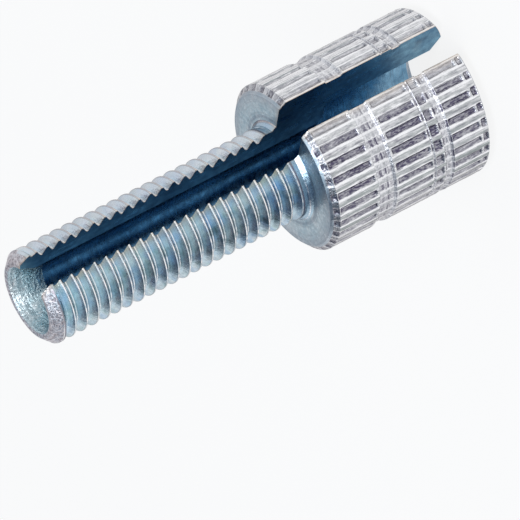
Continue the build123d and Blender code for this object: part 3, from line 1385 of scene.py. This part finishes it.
# %% Floor
TABLE_SIZE = 1.2
TABLE_GLOW = 0.85                # share of plain white that the camera and the metal see
bpy.ops.mesh.primitive_plane_add(size=TABLE_SIZE, location=(0, 0, low[2]))
floor = bpy.context.object
floor.name = "floor"
floor_material = bpy.data.materials.new("white table")
floor_material.use_nodes = True
tree = floor_material.node_tree
tree.nodes["Principled BSDF"].inputs["Base Color"].default_value = (0.86, 0.87, 0.88, 1)
tree.nodes["Principled BSDF"].inputs["Roughness"].default_value = 0.9
light_path = tree.nodes.new("ShaderNodeLightPath")
glow = add(tree, "ShaderNodeEmission", Strength=1.0)
mix = tree.nodes.new("ShaderNodeMixShader")
seen = Term(tree, light_path.outputs["Is Camera Ray"]) + light_path.outputs["Is Glossy Ray"]
seen = (seen + light_path.outputs["Is Transmission Ray"]).at_most(1.0)
link_or_set(tree, seen * TABLE_GLOW, mix.inputs[0])
tree.links.new(tree.nodes["Principled BSDF"].outputs[0], mix.inputs[1])
tree.links.new(glow.outputs[0], mix.inputs[2])
tree.links.new(mix.outputs[0], tree.nodes["Material Output"].inputs["Surface"])
floor.data.materials.append(floor_material)
print("table at", round(low[2] / MM, 2), "mm,", TABLE_SIZE, "m wide")

# %% [markdown]
# ## The room
#
# The sky is a ramp from the horizon up: pale at the level of the table, a dark wall above it
# for the metal to show, and a pale blue ceiling. The wall behind the screw is lighter, so that
# its back has something bright to mirror too.

# %% World
SKY = (
    (0.40, (0.90, 0.92, 0.95, 1)),
    (0.47, (0.50, 0.52, 0.55, 1)),
    (0.57, (0.10, 0.12, 0.16, 1)),
    (0.82, (0.10, 0.14, 0.20, 1)),
    (0.90, (0.58, 0.72, 0.84, 1)),
    (0.95, (0.76, 0.88, 0.97, 1)),
    (0.98, (0.62, 0.78, 0.90, 1)),
)
BACK_WALL = (0.74, 0.76, 0.79, 1)
world = bpy.data.worlds.new("room")
bpy.context.scene.world = world
world.use_nodes = True
tree = world.node_tree
direction = tree.nodes.new("ShaderNodeTexCoord").outputs["Generated"]
apart = add(tree, "ShaderNodeSeparateXYZ", Vector=direction)
ramp = tree.nodes.new("ShaderNodeValToRGB")
tree.links.new(apart.outputs["Z"], ramp.inputs[0])
steps = ramp.color_ramp.elements
steps[0].position, steps[0].color = SKY[0]
steps[1].position, steps[1].color = SKY[-1]
for place, shade in SKY[1:-1]:
    steps.new(place).color = shade
behind = (Term(tree, apart.outputs["Y"]) * 2.5 - 0.4).clamped()
sky = mixed(tree, behind, ramp.outputs[0], BACK_WALL)
tree.links.new(sky, tree.nodes["Background"].inputs["Color"])
print("sky:", len(steps), "steps")

# %% [markdown]
# ## Lamp and camera
#
# One square soft box, high up beside the slot, is enough: the white table fills the shadows.
# The camera stands well back with a long lens, as for a catalogue, and is rolled so that the
# screw, which stands on its head, is seen lying down.

# %% Lamp
KEY_PLACE = Vector((0.30, -0.21, 0.48))
lamp = bpy.data.lights.new("key", "AREA")
lamp.shape = "RECTANGLE"
lamp.size = 0.4
lamp.size_y = 0.4
lamp.energy = 1.7
soft_box = bpy.data.objects.new("key", lamp)
aim = (-KEY_PLACE).to_track_quat("-Z", "Y").to_matrix().to_4x4()
soft_box.matrix_world = Matrix.Translation(KEY_PLACE) @ aim
bpy.context.scene.collection.objects.link(soft_box)
print("soft box:", round(KEY_PLACE.length, 2), "m away")

# %% Camera
AZIMUTH = 63.23
ELEVATION = 22.28
ROLL = -117.4
AIM = Vector((-4.034, -4.002, 4.389)) * MM
DISTANCE = 0.66
LENS = 589.6                     # mm
SENSOR = 36                      # mm
camera_data = bpy.data.cameras.new("camera")
camera_data.lens = LENS
camera_data.sensor_width = SENSOR
camera_data.clip_start = 0.01
camera_data.clip_end = 10
camera = bpy.data.objects.new("camera", camera_data)
bpy.context.scene.collection.objects.link(camera)
camera.matrix_world = (
    Matrix.Translation(AIM)
    @ Matrix.Rotation(radians(AZIMUTH), 4, "Z")
    @ Matrix.Rotation(radians(90 - ELEVATION), 4, "X")
    @ Matrix.Rotation(radians(ROLL), 4, "Z")
    @ Matrix.Translation((0, 0, DISTANCE))
)
bpy.context.scene.camera = camera
bpy.context.scene.view_settings.view_transform = "Standard"
print("camera:", DISTANCE, "m away, sees", round(1000 * DISTANCE * SENSOR / LENS, 1), "mm across")

# %% [markdown]
# The box of what is seen has to stay inside the CAD solid's box.
